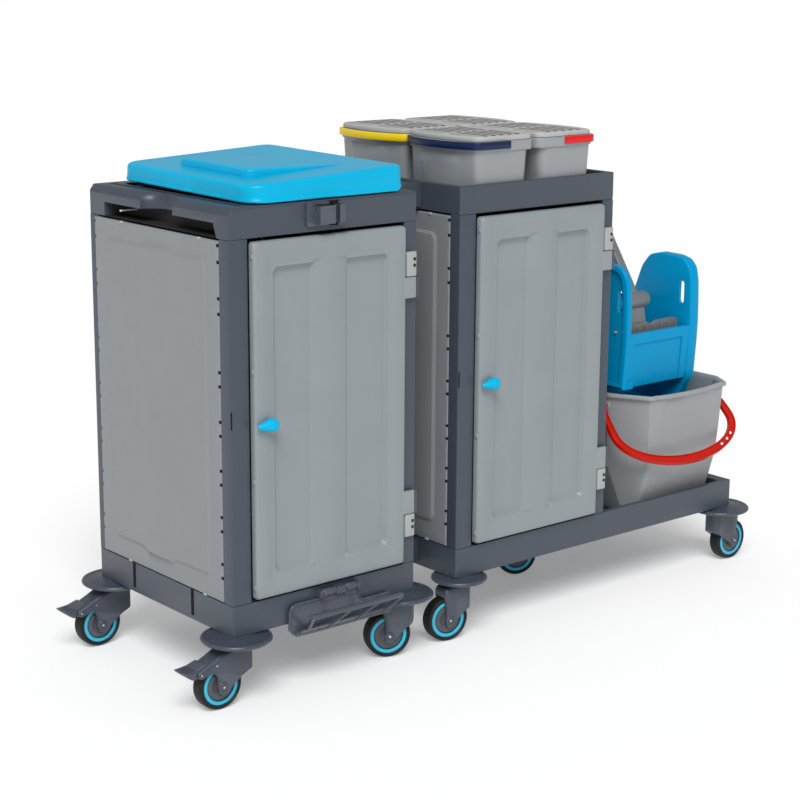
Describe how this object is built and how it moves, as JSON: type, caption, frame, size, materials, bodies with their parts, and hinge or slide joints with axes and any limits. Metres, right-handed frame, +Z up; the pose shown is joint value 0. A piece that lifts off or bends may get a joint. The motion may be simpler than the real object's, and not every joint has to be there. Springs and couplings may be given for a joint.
{
  "type": "janitor cart",
  "caption": "Two-module cleaning cart on castors: lidded waste cabinet coupled to a store cabinet with small buckets and a platform holding a mop bucket and press wringer.",
  "frame": {"origin": "on the floor, under the middle of the whole object", "axes": "+X from the push handle to the platform end, +Y from the doors to the back, +Z up"},
  "size_m": [1.681, 0.6068, 1.093],
  "materials": {
    "frame_plastic": "fine moulded texture, satin",
    "panel_plastic": "fine moulded texture, satin",
    "bucket_plastic": "smooth moulded, satin",
    "cyan_plastic": "smooth moulded, semi-gloss",
    "blue_plastic": "smooth moulded, semi-gloss",
    "red_plastic": "smooth moulded, semi-gloss",
    "navy_plastic": "smooth moulded, semi-gloss",
    "yellow_plastic": "smooth moulded, semi-gloss",
    "green_plastic": "smooth moulded, semi-gloss",
    "leaf_plastic": "smooth moulded, satin",
    "screw_steel": "zinc plated",
    "tyre": "matt non-marking rubber on a plastic rim"
  },
  "bodies": {
    "frame": {"waste_base": "frame_plastic", "store_base": "frame_plastic", "corner_posts": "frame_plastic", "waste_top_frame": "frame_plastic", "store_tray": "frame_plastic", "waste_panels": "panel_plastic", "store_panels": "panel_plastic", "castor_bumpers": "frame_plastic", "door_hinge_leaves": "leaf_plastic", "hinge_screws": "screw_steel", "lid_hinge_brackets": "frame_plastic", "waste_bag_ring": "frame_plastic", "store_shelf": "panel_plastic", "mop_clip_body": "frame_plastic", "tool_holder_bracket": "frame_plastic", "coupling_links": "frame_plastic"},
    "castor_1": {"castor_fork_1": "frame_plastic"},
    "wheel_1": {"castor_wheel_1": "tyre"},
    "castor_2": {"castor_fork_2": "frame_plastic"},
    "wheel_2": {"castor_wheel_2": "tyre"},
    "castor_3": {"castor_fork_3": "frame_plastic"},
    "wheel_3": {"castor_wheel_3": "tyre"},
    "castor_4": {"castor_fork_4": "frame_plastic"},
    "wheel_4": {"castor_wheel_4": "tyre"},
    "castor_5": {"castor_fork_5": "frame_plastic"},
    "wheel_5": {"castor_wheel_5": "tyre"},
    "castor_6": {"castor_fork_6": "frame_plastic"},
    "wheel_6": {"castor_wheel_6": "tyre"},
    "castor_7": {"castor_fork_7": "frame_plastic"},
    "wheel_7": {"castor_wheel_7": "tyre"},
    "castor_8": {"castor_fork_8": "frame_plastic"},
    "wheel_8": {"castor_wheel_8": "tyre"},
    "castor_9": {"castor_fork_9": "frame_plastic"},
    "wheel_9": {"castor_wheel_9": "tyre"},
    "pedal_1": {"brake_pedal_1": "frame_plastic"},
    "pedal_2": {"brake_pedal_2": "frame_plastic"},
    "waste_door": {"waste_door": "panel_plastic"},
    "waste_knob": {"waste_knob": "cyan_plastic"},
    "store_door": {"store_door": "panel_plastic"},
    "store_knob": {"store_knob": "cyan_plastic"},
    "waste_lid": {"waste_lid": "cyan_plastic"},
    "tool_holder": {"tool_holder": "frame_plastic"},
    "clip_jaw": {"mop_clip_jaw": "frame_plastic"},
    "bucket_1": {"small_bucket_1": "bucket_plastic"},
    "lid_1": {"bucket_lid_1": "bucket_plastic"},
    "bail_1": {"bucket_bail_1": "navy_plastic"},
    "bucket_2": {"small_bucket_2": "bucket_plastic"},
    "lid_2": {"bucket_lid_2": "bucket_plastic"},
    "bail_2": {"bucket_bail_2": "yellow_plastic"},
    "bucket_3": {"small_bucket_3": "bucket_plastic"},
    "lid_3": {"bucket_lid_3": "bucket_plastic"},
    "bail_3": {"bucket_bail_3": "red_plastic"},
    "bucket_4": {"small_bucket_4": "bucket_plastic"},
    "lid_4": {"bucket_lid_4": "bucket_plastic"},
    "bail_4": {"bucket_bail_4": "green_plastic"},
    "mop_bucket": {"mop_bucket": "bucket_plastic"},
    "mop_bail": {"mop_bail": "red_plastic"},
    "wringer": {"wringer_body": "blue_plastic"},
    "lever": {"wringer_lever": "bucket_plastic", "wringer_press_plate": "bucket_plastic"}
  },
  "joints": [
    {"name": "castor_1_swivel", "type": "hinge", "parent": "frame", "child": "castor_1", "pos_m": [-0.6975, -0.2255, 0.12], "axis": [0, 0, 1], "continuous": true},
    {"name": "wheel_1_spin", "type": "hinge", "parent": "castor_1", "child": "wheel_1", "pos_m": [-0.7455, -0.2255, 0.05], "axis": [0, 1, 0], "continuous": true},
    {"name": "castor_2_swivel", "type": "hinge", "parent": "frame", "child": "castor_2", "pos_m": [-0.2755, -0.2255, 0.12], "axis": [0, 0, 1], "continuous": true},
    {"name": "wheel_2_spin", "type": "hinge", "parent": "castor_2", "child": "wheel_2", "pos_m": [-0.30146, -0.21501, 0.05], "axis": [0.3746, 0.9272, 0], "continuous": true},
    {"name": "castor_3_swivel", "type": "hinge", "parent": "frame", "child": "castor_3", "pos_m": [-0.6975, 0.2305, 0.12], "axis": [0, 0, 1], "continuous": true},
    {"name": "wheel_3_spin", "type": "hinge", "parent": "castor_3", "child": "wheel_3", "pos_m": [-0.7455, 0.2305, 0.05], "axis": [0, 1, 0], "continuous": true},
    {"name": "castor_4_swivel", "type": "hinge", "parent": "frame", "child": "castor_4", "pos_m": [-0.2755, 0.2305, 0.12], "axis": [0, 0, 1], "continuous": true},
    {"name": "wheel_4_spin", "type": "hinge", "parent": "castor_4", "child": "wheel_4", "pos_m": [-0.30267, 0.22373, 0.05], "axis": [-0.2419, 0.9703, 0], "continuous": true},
    {"name": "castor_5_swivel", "type": "hinge", "parent": "frame", "child": "castor_5", "pos_m": [-0.1135, -0.2255, 0.12], "axis": [0, 0, 1], "continuous": true},
    {"name": "wheel_5_spin", "type": "hinge", "parent": "castor_5", "child": "wheel_5", "pos_m": [-0.14108, -0.22064, 0.05], "axis": [0.1736, 0.9848, 0], "continuous": true},
    {"name": "castor_6_swivel", "type": "hinge", "parent": "frame", "child": "castor_6", "pos_m": [0.7545, -0.2255, 0.12], "axis": [0, 0, 1], "continuous": true},
    {"name": "wheel_6_spin", "type": "hinge", "parent": "castor_6", "child": "wheel_6", "pos_m": [0.7905, -0.2255, 0.05], "axis": [0, -1, 0], "continuous": true},
    {"name": "castor_7_swivel", "type": "hinge", "parent": "frame", "child": "castor_7", "pos_m": [-0.1135, 0.2305, 0.12], "axis": [0, 0, 1], "continuous": true},
    {"name": "wheel_7_spin", "type": "hinge", "parent": "castor_7", "child": "wheel_7", "pos_m": [-0.14089, 0.22468, 0.05], "axis": [-0.2079, 0.9781, 0], "continuous": true},
    {"name": "castor_8_swivel", "type": "hinge", "parent": "frame", "child": "castor_8", "pos_m": [0.7545, 0.2305, 0.12], "axis": [0, 0, 1], "continuous": true},
    {"name": "wheel_8_spin", "type": "hinge", "parent": "castor_8", "child": "wheel_8", "pos_m": [0.78568, 0.2125, 0.05], "axis": [-0.5, -0.866, 0], "continuous": true},
    {"name": "castor_9_swivel", "type": "hinge", "parent": "frame", "child": "castor_9", "pos_m": [0.3165, 0.0025, 0.12], "axis": [0, 0, 1], "continuous": true},
    {"name": "wheel_9_spin", "type": "hinge", "parent": "castor_9", "child": "wheel_9", "pos_m": [0.29112, 0.01433, 0.05], "axis": [0.4226, 0.9063, 0], "continuous": true},
    {"name": "brake_pedal_1_press", "type": "hinge", "parent": "castor_1", "child": "pedal_1", "pos_m": [-0.7965, -0.2255, 0.086], "axis": [0, -1, 0], "range_deg": [0, 12]},
    {"name": "brake_pedal_2_press", "type": "hinge", "parent": "castor_3", "child": "pedal_2", "pos_m": [-0.7965, 0.2305, 0.086], "axis": [0, -1, 0], "range_deg": [0, 12]},
    {"name": "waste_door_swing", "type": "hinge", "parent": "frame", "child": "waste_door", "pos_m": [-0.2595, -0.2555, 0.571], "axis": [0, 0, 1], "range_deg": [0, 120]},
    {"name": "waste_knob_turn", "type": "hinge", "parent": "waste_door", "child": "waste_knob", "pos_m": [-0.6385, -0.2595, 0.571], "axis": [0, 1, 0], "range_deg": [0, 90]},
    {"name": "store_door_swing", "type": "hinge", "parent": "frame", "child": "store_door", "pos_m": [0.3145, -0.2555, 0.571], "axis": [0, 0, 1], "range_deg": [0, 120]},
    {"name": "store_knob_turn", "type": "hinge", "parent": "store_door", "child": "store_knob", "pos_m": [-0.0545, -0.2595, 0.571], "axis": [0, 1, 0], "range_deg": [0, 90]},
    {"name": "waste_lid_lift", "type": "hinge", "parent": "frame", "child": "waste_lid", "pos_m": [-0.2795, 0.0025, 1], "axis": [0, 1, 0], "range_deg": [0, 95]},
    {"name": "tool_holder_fold", "type": "hinge", "parent": "frame", "child": "tool_holder", "pos_m": [-0.4645, -0.2575, 0.196], "axis": [-1, 0, 0], "range_deg": [0, 90]},
    {"name": "clip_jaw_spread", "type": "hinge", "parent": "frame", "child": "clip_jaw", "pos_m": [-0.4645, -0.2565, 0.966], "axis": [0, 0, 1], "range_deg": [0, 20], "stiffness_Nm_per_rad": 0.8},
    {"name": "bucket_1_lift", "type": "slide", "parent": "frame", "child": "bucket_1", "axis": [0, 0, 1], "range_m": [0, 0.2]},
    {"name": "lid_1_lift", "type": "slide", "parent": "bucket_1", "child": "lid_1", "axis": [0, 0, 1], "range_m": [0, 0.18]},
    {"name": "bail_1_raise", "type": "hinge", "parent": "bucket_1", "child": "bail_1", "pos_m": [0.0005, -0.1255, 1.073], "axis": [0, 1, 0], "range_deg": [0, 90]},
    {"name": "bucket_2_lift", "type": "slide", "parent": "frame", "child": "bucket_2", "axis": [0, 0, 1], "range_m": [0, 0.2]},
    {"name": "lid_2_lift", "type": "slide", "parent": "bucket_2", "child": "lid_2", "axis": [0, 0, 1], "range_m": [0, 0.18]},
    {"name": "bail_2_raise", "type": "hinge", "parent": "bucket_2", "child": "bail_2", "pos_m": [0.0015, 0.1135, 1.073], "axis": [0, 1, 0], "range_deg": [0, 90]},
    {"name": "bucket_3_lift", "type": "slide", "parent": "frame", "child": "bucket_3", "axis": [0, 0, 1], "range_m": [0, 0.2]},
    {"name": "lid_3_lift", "type": "slide", "parent": "bucket_3", "child": "lid_3", "axis": [0, 0, 1], "range_m": [0, 0.18]},
    {"name": "bail_3_raise", "type": "hinge", "parent": "bucket_3", "child": "bail_3", "pos_m": [0.1775, -0.1255, 1.073], "axis": [0, -1, 0], "range_deg": [0, 90]},
    {"name": "bucket_4_lift", "type": "slide", "parent": "frame", "child": "bucket_4", "axis": [0, 0, 1], "range_m": [0, 0.2]},
    {"name": "lid_4_lift", "type": "slide", "parent": "bucket_4", "child": "lid_4", "axis": [0, 0, 1], "range_m": [0, 0.18]},
    {"name": "bail_4_raise", "type": "hinge", "parent": "bucket_4", "child": "bail_4", "pos_m": [0.1815, 0.1135, 1.073], "axis": [0, -1, 0], "range_deg": [0, 90]},
    {"name": "mop_bucket_lift", "type": "slide", "parent": "frame", "child": "mop_bucket", "axis": [0, 0, 1], "range_m": [0, 0.3]},
    {"name": "mop_bail_raise", "type": "hinge", "parent": "mop_bucket", "child": "mop_bail", "pos_m": [0.5905, -0.1475, 0.43], "axis": [-1, 0, 0], "range_deg": [0, 90]},
    {"name": "wringer_lift", "type": "slide", "parent": "mop_bucket", "child": "wringer", "axis": [0, 0, 1], "range_m": [0, 0.35]},
    {"name": "lever_pull", "type": "hinge", "parent": "wringer", "child": "lever", "pos_m": [0.5505, -0.1475, 0.672], "axis": [1, 0, 0], "range_deg": [0, 38]}
  ]
}
